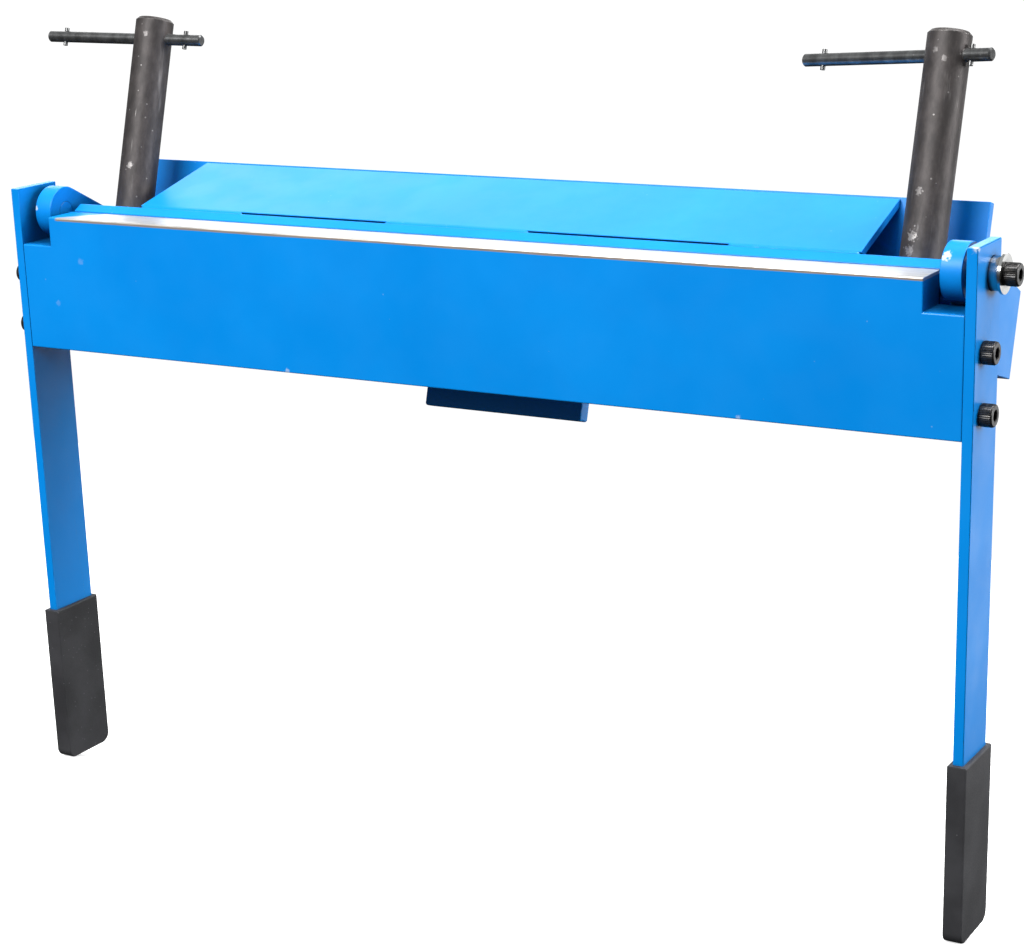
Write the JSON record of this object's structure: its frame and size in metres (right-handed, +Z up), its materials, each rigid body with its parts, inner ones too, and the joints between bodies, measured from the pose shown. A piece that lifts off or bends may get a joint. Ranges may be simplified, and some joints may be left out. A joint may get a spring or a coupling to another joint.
{
  "type": "sheet metal brake",
  "caption": "Vise-mounted sheet metal bending brake with a hinged leaf, long handles and a screw-clamped beam.",
  "frame": {"origin": "on the vise tab's front face, in the middle of the part that the vise grips", "axes": "+X along the bend line to the right, +Y to the rear, +Z up with the bed level"},
  "size_m": [0.7183, 0.1558, 0.5141],
  "materials": {
    "blue_paint": "satin enamel over steel",
    "black_post": "scuffed black mill scale",
    "black_bar": "black oxide",
    "black_screw": "oiled black oxide",
    "grip": "matte vinyl",
    "bright_steel": "turned, zinc plated",
    "bare_steel": "bare machined"
  },
  "bodies": {
    "bed": {"bed_angle": "blue_paint", "hinge_ear_left": "blue_paint", "hinge_ear_right": "blue_paint", "bed_welds": "blue_paint", "vise_tab": "blue_paint", "tab_welds": "blue_paint", "stud_left": "bare_steel", "stud_right": "bare_steel", "stud_nuts": "blue_paint", "pivot_pin_left": "bare_steel", "pivot_pin_right": "bare_steel", "pivot_washers": "bright_steel", "pivot_screws": "black_screw"},
    "leaf": {"leaf_bar": "blue_paint", "handle_bar_left": "blue_paint", "handle_bar_right": "blue_paint", "handle_grip_left": "grip", "handle_grip_right": "grip", "pivot_bushing_left": "bright_steel", "pivot_bushing_right": "bright_steel", "handle_screws": "black_screw"},
    "clamp_beam": {"clamp_angle": "blue_paint", "slope_plate": "blue_paint", "slope_welds": "blue_paint"},
    "post_left": {"clamp_post_left": "black_post"},
    "post_right": {"clamp_post_right": "black_post"},
    "tommy_left": {"tommy_bar_left": "black_bar", "tommy_pins_left": "black_bar"},
    "tommy_right": {"tommy_bar_right": "black_bar", "tommy_pins_right": "black_bar"}
  },
  "joints": [
    {"name": "leaf_swing", "type": "hinge", "parent": "bed", "child": "leaf", "pos_m": [0, -0.07303, 0.08255], "axis": [-1, 0, 0], "range_deg": [-3, 112]},
    {"name": "clamp_lift", "type": "slide", "parent": "bed", "child": "clamp_beam", "axis": [0, 0, 1], "range_m": [0, 0.00924]},
    {"name": "post_left_turn", "type": "hinge", "parent": "clamp_beam", "child": "post_left", "pos_m": [-0.281, -0.03852, 0.14255], "axis": [0, 0, 1], "range_deg": [0, 1442]},
    {"name": "tommy_left_slide", "type": "slide", "parent": "post_left", "child": "tommy_left", "axis": [0.9994, 0.0349, 0], "range_m": [-0.012, 0.059]},
    {"name": "post_right_turn", "type": "hinge", "parent": "clamp_beam", "child": "post_right", "pos_m": [0.281, -0.03852, 0.14255], "axis": [0, 0, 1], "range_deg": [0, 1442]},
    {"name": "tommy_right_slide", "type": "slide", "parent": "post_right", "child": "tommy_right", "axis": [0.9744, -0.225, 0], "range_m": [-0.0012, 0.0698]}
  ],
  "couplings": [
    {"joint": "post_left_turn", "follows": "clamp_lift", "rad_per_m": 2721.1},
    {"joint": "post_right_turn", "follows": "clamp_lift", "rad_per_m": 2721.1}
  ]
}
